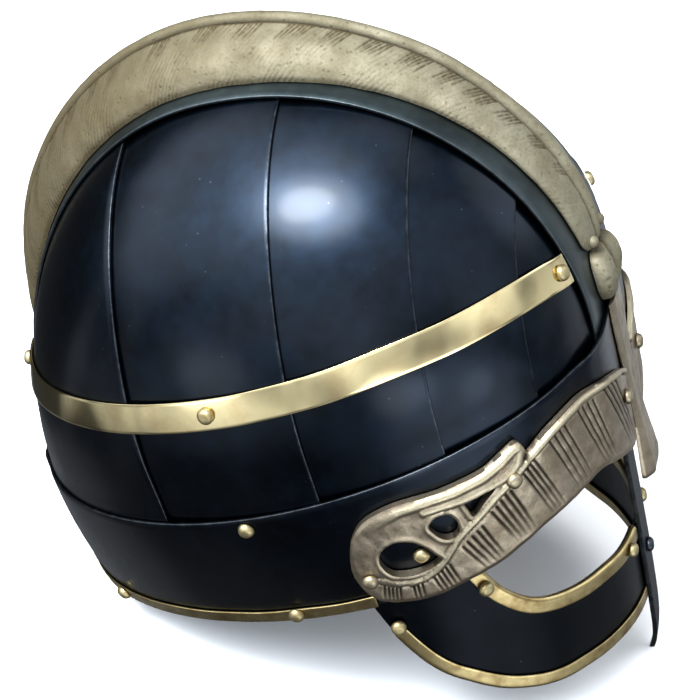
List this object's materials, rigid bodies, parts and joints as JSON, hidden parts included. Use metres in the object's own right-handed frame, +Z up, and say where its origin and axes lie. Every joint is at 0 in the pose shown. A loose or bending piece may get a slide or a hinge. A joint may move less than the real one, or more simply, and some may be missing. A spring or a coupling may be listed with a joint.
{
  "type": "viking helmet",
  "caption": "Blackened steel helmet with a cast crest, brass side band and rim trim, pierced cast eyebrows, a nasal bar and crescent guards under the eyes, open below for the head.",
  "frame": {"origin": "centre of the bounding box at the level it rests on", "axes": "+Z up; the face looks along -Y and tips up a little, because the helmet rests on its nasal bar's tip and the nape of its rim; the wearer's right is -X"},
  "size_m": [0.1974, 0.289, 0.2549],
  "materials": {
    "blackened_steel": "blackened and oiled, semi-gloss",
    "polished_brass": "polished",
    "trim_brass": "worn satin",
    "cast_brass": "cast, filed and worn",
    "cast_bronze": "cast bronze, antiqued"
  },
  "bodies": {
    "root": {"brow_band": "blackened_steel", "brow_band_rivet_front_left": "trim_brass", "brow_band_rivet_front_right": "trim_brass", "brow_band_rivet_side_left": "trim_brass", "brow_band_rivet_side_right": "trim_brass", "crest": "cast_brass", "crest_head": "cast_brass", "eye_guard_left": "blackened_steel", "eye_guard_right": "blackened_steel", "eyebrow_left": "cast_bronze", "eyebrow_right": "cast_bronze", "eyebrow_rivet_inner_left": "trim_brass", "eyebrow_rivet_inner_right": "trim_brass", "eyebrow_rivet_middle_left": "trim_brass", "eyebrow_rivet_middle_right": "trim_brass", "eyebrow_rivet_outer_left": "trim_brass", "eyebrow_rivet_outer_right": "trim_brass", "guard_rivet_nose_left": "trim_brass", "guard_rivet_nose_right": "trim_brass", "guard_rivet_rear_left": "trim_brass", "guard_rivet_rear_right": "trim_brass", "guard_rivet_upper_left": "trim_brass", "guard_rivet_upper_right": "trim_brass", "guard_trim_lower_left": "trim_brass", "guard_trim_lower_right": "trim_brass", "guard_trim_upper_left": "trim_brass", "guard_trim_upper_right": "trim_brass", "nasal_bar": "blackened_steel", "nasal_bar_rivet": "blackened_steel", "nasal_casting": "cast_bronze", "nose_to_nape_strap": "blackened_steel", "rim_rivet_rear_left": "trim_brass", "rim_rivet_rear_right": "trim_brass", "rim_rivet_side_left": "trim_brass", "rim_rivet_side_right": "trim_brass", "rim_trim": "trim_brass", "side_band_left": "polished_brass", "side_band_right": "polished_brass", "side_band_rivet_front_left": "trim_brass", "side_band_rivet_front_right": "trim_brass", "side_band_rivet_middle_left": "trim_brass", "side_band_rivet_middle_right": "trim_brass", "side_band_rivet_rear_left": "trim_brass", "side_band_rivet_rear_right": "trim_brass", "skull_plate_1_left": "blackened_steel", "skull_plate_1_right": "blackened_steel", "skull_plate_2_left": "blackened_steel", "skull_plate_2_right": "blackened_steel", "skull_plate_3_left": "blackened_steel", "skull_plate_3_right": "blackened_steel", "skull_plate_4_left": "blackened_steel", "skull_plate_4_right": "blackened_steel", "skull_plate_5_left": "blackened_steel", "skull_plate_5_right": "blackened_steel"}
  },
  "joints": []
}
